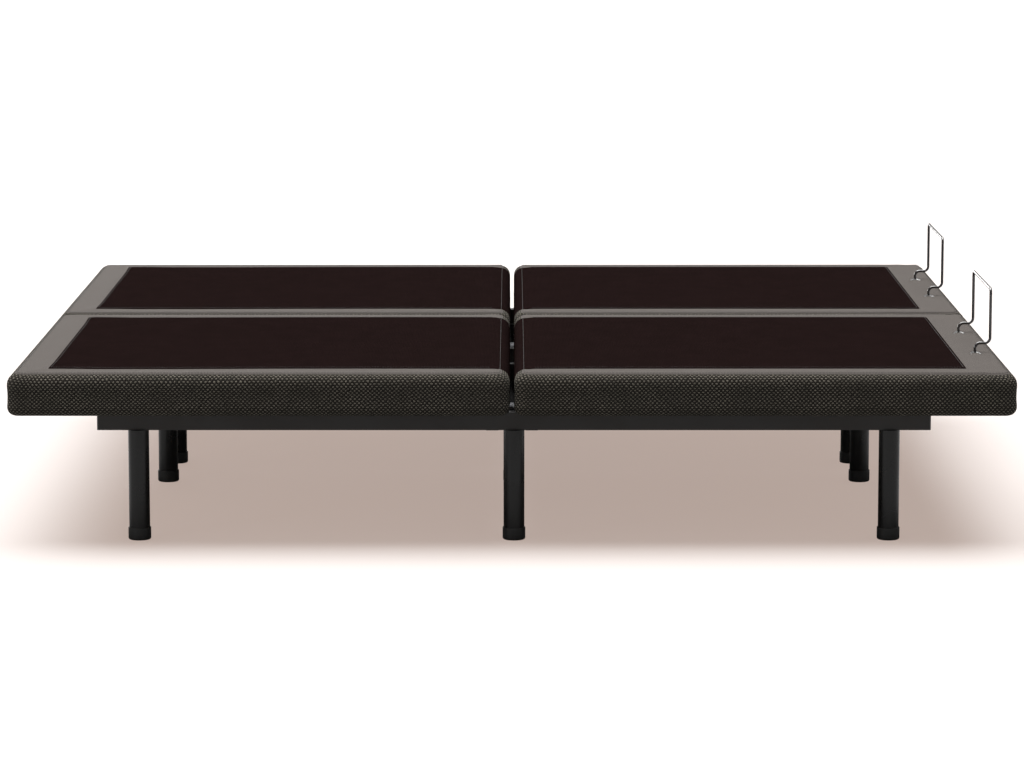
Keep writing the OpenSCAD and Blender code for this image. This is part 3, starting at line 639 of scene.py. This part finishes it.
def make_panel(end, side):
    """One upholstered panel: the grid shape, swollen by the simulation, with the sewn line of the insert
    pressed into it and UVs in metres along the cloth."""
    shape = cover_shape(end, side)
    points, rows, loops = shape["points"].copy(), shape["rows"], shape["loops"]
    middle, half = shape["middle"], shape["half"]
    rest = points.copy()
    pins = np.zeros(len(points))
    pins[rows[-9:].ravel()] = 1.0
    pins[np.unique(shape["lid"])] = 1.0
    pins[rows[10:, :][:, shape["in_slot"]].ravel()] = 1.0
    feet = bar_feet(side) if end == "foot" else []
    for x, y in feet:
        near = (np.hypot(points[:, 0] - x, points[:, 1] - y) < 0.011) & (points[:, 2] > deck_top - 0.001)
        pins[near] = 1.0
    here = points[:, :2] - middle[:2]
    on_top = points[:, 2] > deck_top - 0.0005
    faces = np.concatenate([shape["top"], shape["ring"], shape["lid"]])
    cap = np.where(on_top, top_cap, wall_cap)[:, None]
    points = swell(points, faces, pins, cap)

    # the crown: a product of two flat-topped humps, highest in the middle and zero at the core's edge
    hump = (1 - np.abs(here[:, 0] / half[0]) ** 4) * (1 - np.abs(here[:, 1] / half[1]) ** 4)
    points[:, 2] += np.where(on_top, crown * np.clip(hump, 0, 1), 0.0)

    # the sewn line: a bell-shaped groove along the insert's border
    reach_x = shape["outer_sign"] * here[:, 0] - abs(shape["seam_x"])
    reach_y = np.abs(here[:, 1]) - shape["seam_y"]
    groove = np.exp(-((np.maximum(reach_x, reach_y)) / groove_width) ** 2)
    points[:, 2] -= np.where(on_top, groove_depth * groove, 0.0)
    for x, y in feet:
        dimple = np.exp(-((np.hypot(rest[:, 0] - x, rest[:, 1] - y)) / 0.014) ** 2)
        pressed = points[:, 2] + (deck_top - 0.0002 - points[:, 2]) * dimple
        points[:, 2] = np.where(on_top, pressed, points[:, 2])

    # the joint between border cloth and tweed: the ring where they meet sinks in a little
    seam_ring = rows[SEAM_ROW]
    points[seam_ring] -= np.c_[shape["out"] * 0.0004, np.full(loops, 0.0007)]

    # stay inside the panel's own space
    low, high = node_box(f"{end}_pad_{side}")
    points[:, :2] = np.clip(points[:, :2], low[:2] + 0.0001, high[:2] - 0.0001)
    points[:, 2] = np.minimum(points[:, 2], deck_top + 0.0035)

    cover = make_mesh(f"{end}_cover_{side}", points, faces)
    # u runs along the outline and v down the ribbon, both as lengths in metres; the top uses its plain x
    # and y
    step = np.linalg.norm(np.diff(np.vstack([shape["outline"], shape["outline"][:1]]), axis=0), axis=1)
    along = np.concatenate([[0.0], np.cumsum(step)])
    one_column = rest[rows[:, loops // 8]]
    down = np.concatenate([[0.0], np.cumsum(np.linalg.norm(np.diff(one_column, axis=0), axis=1))])
    top_uv = rest[shape["top"]][:, :, :2].reshape(-1, 2)
    edge_rings = SEAM_ROW
    flat_edge = rest[shape["ring"][:edge_rings * loops]][:, :, :2].reshape(-1, 2)
    r, k = np.divmod(np.arange(edge_rings * loops, len(shape["ring"])), loops)
    side_uv = np.stack([np.stack([along[k], down[r]], -1), np.stack([along[k], down[r + 1]], -1),
                        np.stack([along[k + 1], down[r + 1]], -1), np.stack([along[k + 1], down[r]], -1)], 1)
    set_uv(cover.data, np.concatenate([top_uv, flat_edge, side_uv.reshape(-1, 2),
                                      rest[shape["lid"]][:, :, :2].reshape(-1, 2)]))
    cover.data.materials.append(border_cloth)
    cover.data.materials.append(side_tweed)
    slots = np.zeros(len(faces), int)
    slots[len(shape["top"]) + edge_rings * loops:] = 1
    cover.data.polygons.foreach_set("material_index", slots)
    smoother = cover.modifiers.new("round", "SUBSURF")
    smoother.levels = smoother.render_levels = 1
    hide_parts(f"{end}_pad_{side}")
    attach(cover, f"{end}_panel_{side}")
    COVERS[end, side] = (cover, shape, points)
    print(cover.name, len(cover.data.polygons), "faces")


for end in ENDS:
    for side in SIDES:
        make_panel(end, side)

# %% [markdown]
# A dark close-woven insert is sewn on each panel so that a mattress doesn't slide. Near the gap it folds
# over the rounded edge. It is taken from the cover's own finished grid, lifted by its thickness, so that it
# lies on the cover everywhere, and a second copy pushed inwards closes it into a thin sheet.

# %% Inserts
def make_insert(end, side):
    """The insert: a patch of the cover's rows and columns, raised along z on the top and outwards on the
    edge."""
    cover, shape, points = COVERS[end, side]
    xs, ys, index, rows = shape["xs"], shape["ys"], shape["index"], shape["rows"]
    take_y = np.nonzero(np.abs(ys) <= shape["seam_y"] + 1e-5)[0]
    nx, ny = len(xs), len(ys)
    if end == "foot":
        take_x = np.nonzero(xs <= shape["seam_x"] + 1e-5)[0]
        first = 2 * (nx - 1) + (ny - 1)
        columns = (first + (ny - 1 - take_y)) % shape["loops"]
    else:
        take_x = np.nonzero(xs >= shape["seam_x"] - 1e-5)[0][::-1]
        columns = (nx - 1) + take_y
    over_edge = 12
    patch = np.concatenate([rows[over_edge:0:-1][:, columns], index[np.ix_(take_x, take_y)]])
    sheet_points = points[patch]
    along_x = np.gradient(sheet_points, axis=0)
    along_y = np.gradient(sheet_points, axis=1)
    normal = np.cross(along_x, along_y)
    normal /= np.linalg.norm(normal, axis=2, keepdims=True)
    if normal[-1, 0, 2] < 0:
        normal = -normal
    # proud of the cover by 1.1 mm on the top, and sunk almost flush where it folds, to keep the gap open
    thick = 0.0009
    turns = [0, over_edge - 3, over_edge]
    proud = np.interp(np.arange(len(patch)), turns, [0.0002, 0.0002, 0.0011])[:, None, None]
    outer = sheet_points + normal * proud
    inner = outer - normal * thick
    m, n = patch.shape
    grid = np.arange(m * n).reshape(m, n)
    quads = np.stack([grid[:-1, :-1], grid[1:, :-1], grid[1:, 1:], grid[:-1, 1:]], -1).reshape(-1, 4)
    facing = np.cross(outer[1, 0] - outer[0, 0], outer[0, 1] - outer[0, 0]) @ normal[0, 0]
    if facing < 0:
        quads = quads[:, ::-1]
    border = np.concatenate([grid[:-1, 0], grid[-1, :-1], grid[:0:-1, -1], grid[0, :0:-1]])
    after = np.roll(border, -1)
    rim = np.stack([border, border + m * n, after + m * n, after], -1)
    if facing < 0:
        rim = rim[:, ::-1]
    both = np.concatenate([outer.reshape(-1, 3), inner.reshape(-1, 3)])
    insert = make_mesh(f"{end}_insert_cloth_{side}", both, [*quads, *(quads[:, ::-1] + m * n), *rim])
    edges = bmesh.new()
    edges.from_mesh(insert.data)
    bmesh.ops.recalc_face_normals(edges, faces=edges.faces)
    edges.to_mesh(insert.data)
    edges.free()
    run = np.concatenate([[0.0], np.cumsum(np.linalg.norm(np.diff(sheet_points[:, n // 2], axis=0), axis=1))])
    across = sheet_points[-1, :, 1]
    flat = np.stack(np.meshgrid(run, across, indexing="ij"), -1).reshape(-1, 2)
    flat = np.concatenate([flat, flat])
    corner = np.empty(len(insert.data.loops), int)
    insert.data.loops.foreach_get("vertex_index", corner)
    set_uv(insert.data, flat[corner])
    insert.data.materials.append(insert_cloth)
    smoother = insert.modifiers.new("round", "SUBSURF")
    smoother.levels = smoother.render_levels = 1
    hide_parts(f"{end}_insert_{side}")
    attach(insert, f"{end}_panel_{side}")


for end in ENDS:
    for side in SIDES:
        make_insert(end, side)

# %% [markdown]
# The steel, plastic and wood parts come straight from the mechanical model, so only their finish is made
# here. Painted steel has a fine texture and soft shine, the legs are glossier, and the plywood shows long
# grain.

# %% Paint, plastic and metal
def make_coat(name, colour, worn, roughness, grain_size, depth, metallic=0.0, coat=0.0, coat_rough=0.1,
              gloss=0.5):
    """A painted or moulded finish: a fine grain in the height, blotches in the roughness and slightly in
    colour."""
    material, graph, shader = new_material(name, Coat_Weight=coat, Coat_Roughness=coat_rough,
                                           Metallic=metallic, Specular_IOR_Level=gloss)
    where = place_of(graph)
    cloudy = use_group(graph, "blotches", Vector=where, Size=0.08)["Mask"]
    grain = use_group(graph, "grain", Vector=where, Size=grain_size)["Height"]
    graph.feed(shader.inputs["Base Color"], graph.blend(cloudy, colour, worn))
    graph.feed(shader.inputs["Roughness"], graph.ramp(cloudy, 0.0, 1.0, roughness - 0.05, roughness + 0.06))
    bump(graph, shader, grain, depth, 0.5)
    return material


def make_metal(name, colour, dull, roughness, stretch):
    """A bare metal: brushed lines along one direction move the roughness and draw fine scratches."""
    material, graph, shader = new_material(name, Metallic=1.0)
    where = place_of(graph)
    lines = use_group(graph, "brushed", Vector=where, Stretch=stretch)["Lines"]
    cloudy = use_group(graph, "blotches", Vector=where, Size=0.03)["Mask"]
    graph.feed(shader.inputs["Base Color"], graph.blend(cloudy, colour, dull))
    graph.feed(shader.inputs["Roughness"], graph.ramp(lines, 0.2, 0.8, roughness - 0.08, roughness + 0.12))
    bump(graph, shader, lines, 0.00008, 0.4)
    return material


finishes = {
    "frame_steel": make_coat("frame_paint", (0.0125, 0.0098, 0.0082, 1), (0.0165, 0.0130, 0.0110, 1),
                             0.46, 0.0009, 0.00007, gloss=0.36),
    "leg_steel": make_coat("leg_paint", (0.0042, 0.0032, 0.0028, 1), (0.0062, 0.0050, 0.0044, 1),
                           0.30, 0.0012, 0.00003, coat=0.12, coat_rough=0.10, gloss=0.26),
    "foot_rubber": make_coat("foot_rubber", (0.008, 0.0078, 0.0075, 1), (0.013, 0.0125, 0.012, 1),
                             0.45, 0.0006, 0.00008),
    "black_plastic": make_coat("black_plastic", (0.012, 0.0118, 0.0115, 1), (0.017, 0.0165, 0.016, 1),
                               0.48, 0.0005, 0.0001),
    "nylon": make_coat("white_nylon", (0.62, 0.60, 0.55, 1), (0.52, 0.50, 0.45, 1), 0.38, 0.0008, 0.00005),
    "bar_wire": make_coat("bar_lacquer", (0.012, 0.0095, 0.0085, 1), (0.018, 0.015, 0.013, 1),
                          0.16, 0.0015, 0.00002, coat=0.8, coat_rough=0.06),
    "zinc_steel": make_metal("zinc_plate", (0.62, 0.61, 0.58, 1), (0.48, 0.48, 0.47, 1),
                             0.34, (300, 40, 300)),
    "bright_steel": make_metal("ground_steel", (0.66, 0.66, 0.66, 1), (0.55, 0.55, 0.56, 1),
                               0.20, (30, 900, 900)),
    # painted shade: the hinge pins get this dark metal so that they show no bright dots in the gap
    "painted_shade_pin": make_metal("pin_painted_dark", (0.035, 0.033, 0.031, 1), (0.022, 0.021, 0.020, 1),
                           0.36, (300, 40, 300)),
    "bright_wire": make_metal("bright_wire", (0.60, 0.60, 0.60, 1), (0.46, 0.46, 0.46, 1),
                              0.28, (400, 400, 400)),
    "actuator_tube": make_metal("anodised_tube", (0.13, 0.13, 0.135, 1), (0.10, 0.10, 0.105, 1),
                                0.38, (20, 900, 900)),
}
print("finishes:", sorted(finishes))

# %% [markdown]
# The boards are raw plywood. Growth rings cut lengthwise show as long stretched bands, and the pores are
# short dark dashes along the grain. The brushed group gives both: once gently stretched, once hard.

# %% Plywood
plywood, graph, shader = new_material("plywood", Specular_IOR_Level=0.35)
where = place_of(graph)
long_grain = use_group(graph, "brushed", Vector=where, Stretch=(3.0, 90.0, 90.0))["Lines"]
pores = use_group(graph, "brushed", Vector=where, Stretch=(40.0, 1400.0, 1400.0))["Lines"]
tone = graph.blend(graph.ramp(long_grain, 0.35, 0.65), (0.46, 0.31, 0.17, 1), (0.62, 0.46, 0.28, 1))
dash = graph.ramp(pores, 0.60, 0.72)
pored = graph.blend(graph.math("MULTIPLY", dash, 0.5), tone, (0.26, 0.16, 0.09, 1))
graph.feed(shader.inputs["Base Color"], pored)
graph.feed(shader.inputs["Roughness"], graph.ramp(long_grain, 0.2, 0.8, 0.56, 0.72))
bump(graph, shader, pores, 0.0002, 0.4)
finishes["plywood"] = plywood
print("plywood made")

# %% [markdown]
# Each part of the mechanical model already names its material, so one loop swaps every plain material for
# the finish of that name. The hinge pins get a dark metal in place of the finish their part names, as painted
# shade, because bright pins would show through the gap.

# %% Give every carried-over part its finish
dressed = 0
for node_name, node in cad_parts.items():
    for slot in node.material_slots:
        # the hinge pins take the dark metal of painted shade
        finish = "painted_shade_pin" if node_name == "hinge_pins" else slot.material.name.split(".")[0]
        if finish in finishes:
            slot.material = finishes[finish]
            dressed += 1
print("parts given a finish:", dressed)

# %% [markdown]
# Thread is what makes a sewn edge read as sewn. Each stitch is a short arch of thread that dips into the
# cloth at both ends, so a run of stitches is one arch repeated along a path. Every path is a line of the
# cover's own grid, which keeps the thread on the cloth, and thousands of stitches stay cheap because each
# has a few faces.

# %% Thread
thread = make_coat("sewing_thread", (0.012, 0.010, 0.009, 1), (0.020, 0.017, 0.015, 1), 0.7, 0.0004, 0.00005)


def rods_along(starts, ends, ups, radius, lift, rings, sides):
    """Many short bent rods at once. A point's place is the straight line from start to end, plus lift times
    a half sine along the up direction, plus the radius round that line, thinner at both ends."""
    t = np.linspace(0.0, 1.0, rings)
    turn = np.linspace(0.0, math.tau, sides, endpoint=False)
    ahead = ends - starts
    ahead /= np.linalg.norm(ahead, axis=1, keepdims=True)
    sideways = np.cross(ahead, ups)
    sideways /= np.linalg.norm(sideways, axis=1, keepdims=True)
    upright = np.cross(sideways, ahead)
    line = starts[:, None] + (ends - starts)[:, None] * t[None, :, None]
    line = line + upright[:, None] * (lift * np.sin(math.pi * t))[None, :, None]
    girth = radius * (0.55 + 0.45 * np.sin(math.pi * np.clip(t, 0.04, 0.96)) ** 0.5)
    ring = np.cos(turn)[:, None] * sideways[:, None, None] + np.sin(turn)[:, None] * upright[:, None, None]
    points = line[:, :, None] + ring * girth[None, :, None, None]
    one = np.arange(rings * sides).reshape(rings, sides)
    after = np.roll(one, -1, axis=1)
    skin = np.stack([one[:-1], after[:-1], after[1:], one[1:]], -1).reshape(-1, 4)
    caps = [one[0][::-1], one[-1]]
    count = len(starts)
    shift = (np.arange(count) * rings * sides)[:, None, None]
    return (points.reshape(-1, 3), [*(skin[None] + shift).reshape(-1, 4),
                                    *np.concatenate([(cap[None] + shift[:, :, 0]) for cap in caps])])


def stitches(path, up, length, gap):
    """Starts, ends and up directions of the stitches along a path: each takes a length, then leaves a
    gap."""
    step = np.linalg.norm(np.diff(path, axis=0), axis=1)
    run = np.concatenate([[0.0], np.cumsum(step)])
    begin = np.arange(gap, run[-1] - length, length + gap)
    place = lambda where, rows_of: np.stack([np.interp(where, run, rows_of[:, k]) for k in range(3)], axis=1)
    return place(begin, path), place(begin + length, path), place(begin + length / 2, up)


# %% [markdown]
# Two lines of stitching are sewn on each panel: one holds the insert along its three outer sides, and one
# runs all round the panel just above the seam of the side cloth. Both follow rows of the cover's own
# points.

# %% Stitching of inserts and edges
for (end, side), (cover, shape, points) in COVERS.items():
    xs, ys, index, rows = shape["xs"], shape["ys"], shape["index"], shape["rows"]
    at_x = int(np.argmin(np.abs(xs - (shape["seam_x"] - shape["outer_sign"] * 0.006))))
    low_y = int(np.argmin(np.abs(ys + shape["seam_y"] - 0.006)))
    high_y = int(np.argmin(np.abs(ys - shape["seam_y"] + 0.006)))
    inner_x = index[:at_x + 1] if end == "foot" else index[at_x:][::-1]
    upward = np.array([0.0, 0.0, 1.0])
    runs = [points[inner_x[:, low_y]], points[index[at_x, low_y:high_y + 1]], points[inner_x[:, high_y]]]
    parts = [stitches(run + upward * 0.0013, np.tile(upward, (len(run), 1)), 0.0036, 0.0016) for run in runs]
    ring = np.append(rows[SEAM_ROW - 1], rows[SEAM_ROW - 1][0])
    lean = np.c_[shape["out"] * 0.35, np.full(shape["loops"], 0.94)]
    lean = np.vstack([lean, lean[:1]])
    parts.append(stitches(points[ring] + lean * 0.0002, lean, 0.0042, 0.0020))
    starts, ends, ups = (np.concatenate([part[k] for part in parts]) for k in range(3))
    seam = make_mesh(f"{end}_stitching_{side}", *rods_along(starts, ends, ups, 0.00045, 0.0004, 4, 5))
    seam.data.materials.append(thread)
    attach(seam, f"{end}_panel_{side}")
    print(seam.name, len(starts), "stitches")

# %% [markdown]
# Where a square tube meets another, the welder leaves a bead: a row of small overlapping ripples. A bead is
# a rod whose radius rises and falls along its length, and it sits in the corner between the two tubes.

# %% Weld beads
cross_w = 0.030                # width of a cross tube
rail_w = 0.025                 # width of a side rail
inner_crosses = (-0.057, 0.027)    # where the two middle cross tubes start
tube_bottom, tube_top = rail_low[2], rail_high[2]


def bead(start, end, radius=0.0022):
    """A weld bead from start to end: radius times (1 + 0.16 times the sine of the way along), with round
    ends."""
    start, end = np.array(start, float), np.array(end, float)
    ahead = (end - start) / np.linalg.norm(end - start)
    rings = max(12, int(np.linalg.norm(end - start) / 0.0009))
    t = np.linspace(0.0, 1.0, rings)
    turn = np.linspace(0.0, math.tau, 8, endpoint=False)
    first = np.cross(ahead, [0.3, 0.5, 0.8])
    first /= np.linalg.norm(first)
    second = np.cross(ahead, first)
    girth = radius * (1 + 0.16 * np.sin(t * math.tau * np.linalg.norm(end - start) / 0.0032))
    girth = girth * np.clip(np.minimum(t, 1 - t) * rings / 3.0, 0.25, 1.0) ** 0.5
    line = start + np.outer(t, end - start)
    round_it = np.cos(turn)[:, None] * first + np.sin(turn)[:, None] * second
    points = (line[:, None] + girth[:, None, None] * round_it[None]).reshape(-1, 3)
    one = np.arange(rings * 8).reshape(rings, 8)
    after = np.roll(one, -1, axis=1)
    skin = np.stack([one[:-1], after[:-1], after[1:], one[1:]], -1).reshape(-1, 4)
    return points, [*skin, one[0][::-1], one[-1]]


def join(pieces):
    """Several (points, faces) made into one."""
    points, faces, count = [], [], 0
    for some_points, some_faces in pieces:
        points.append(some_points)
        faces += [np.asarray(face) + count for face in some_faces]
        count += len(some_points)
    return np.concatenate(points), faces


for side in SIDES:
    low, high = node_box(f"rails_{side}")
    low_x, high_x = (corner[0] for corner in node_box(f"cross_frame_{side}"))
    beads = []
    for face_y, inward in ((low[1] + rail_w, 1.0), (high[1] - rail_w, -1.0)):
        y = face_y + inward * 0.0006
        for x0 in (low_x, *inner_crosses, high_x - cross_w):
            for x in (x0 - 0.0004, x0 + cross_w + 0.0004):
                if low_x < x < high_x:
                    beads.append(bead((x, y, tube_bottom + 0.003), (x, y, tube_top - 0.003)))
            under = tube_bottom - 0.0002
            beads.append(bead((x0 + 0.002, y, under), (x0 + cross_w - 0.002, y, under)))
    welds = make_mesh(f"weld_beads_{side}", *join(beads))
    welds.data.materials.append(finishes["frame_steel"])
    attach(welds, "root")
    print(welds.name, len(beads), "beads")

# %% [markdown]
# Screws hold the roller tracks to the boards and the lids on the electric boxes. A pan head is a low dome
# with a cross recess: a surface of revolution whose height is a quarter ellipse of the radius, sunk along
# two bars.

# %% Pan-head screws
def screw_heads(places, radius, height):
    """Pan heads at many places, facing down. Height is h times the square root of 1 - (r/R)^2, less a
    cross-shaped dip near the middle, on a grid of rings and spokes with a closed flat back."""
    rings, spokes = 7, 24
    r = np.linspace(0.0, 1.0, rings)[1:]
    turn = np.linspace(0.0, math.tau, spokes, endpoint=False)
    x, y = np.outer(r, np.cos(turn)), np.outer(r, np.sin(turn))
    dome = np.sqrt(np.clip(1 - (r * 0.96) ** 2, 0, None))[:, None] * np.ones(spokes)
    cross = ((np.minimum(np.abs(x), np.abs(y)) < 0.14) & (np.hypot(x, y) < 0.62)).astype(float)
    z = dome - 0.55 * cross
    z[-1] = 0.25
    one = np.concatenate([[[0, 0, 0.45]], np.stack([x, y, z], -1).reshape(-1, 3),
                          np.c_[x[-1], y[-1], np.zeros(spokes)], [[0, 0, 0]]])
    one = one * [radius, radius, height]
    grid = 1 + np.arange(rings * spokes).reshape(rings, spokes)
    after = np.roll(grid, -1, axis=1)
    quads = np.stack([grid[:-1], grid[1:], after[1:], after[:-1]], -1).reshape(-1, 4)
    top = [np.array([0, a, b]) for a, b in zip(grid[0], after[0])]
    back = [np.array([len(one) - 1, b, a]) for a, b in zip(grid[-1], after[-1])]
    one = one * [1, -1, -1]
    faces = [*quads, *top, *back]
    return join([(one + np.array(place), faces) for place in places])


gearbox_w = 0.044              # width of a gearbox, whose lid takes four screws
for side in SIDES:
    for end in ENDS:
        low, high = node_box(f"{end}_tracks_{side}")
        centre = (low[1] + high[1]) / 2
        reach = np.linspace(0.130, max(abs(low[0]), abs(high[0])) - 0.03, 4) * (-1 if end == "head" else 1)
        spots = [(x, centre + row * hinge_row + edge * 0.0165, low[2] + 0.0001)
                 for x in reach for row in (-1, 1) for edge in (-1, 1)]
        heads = make_mesh(f"{end}_track_screws_{side}", *screw_heads(spots, 0.0028, 0.0016))
        heads.data.materials.append(finishes["zinc_steel"])
        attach(heads, f"{end}_panel_{side}")
    low, high = node_box(f"control_box_{side}")
    spots = [(x, y, low[2] + 0.0001) for x in (low[0] + 0.008, high[0] - 0.008)
             for y in (low[1] + 0.008, high[1] - 0.008)]
    for end in ENDS:
        low, high = node_box(f"{end}_motor_{side}")
        box_y = (low[1], low[1] + gearbox_w) if end == "head" else (high[1] - gearbox_w, high[1])
        spots += [(x, y, low[2] + 0.0001) for x in (low[0] + 0.006, high[0] - 0.006)
                  for y in (box_y[0] + 0.006, box_y[1] - 0.006)]
    heads = make_mesh(f"lid_screws_{side}", *screw_heads(spots, 0.0027, 0.0015))
    heads.data.materials.append(finishes["zinc_steel"])
    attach(heads, "root")
print("screws made")
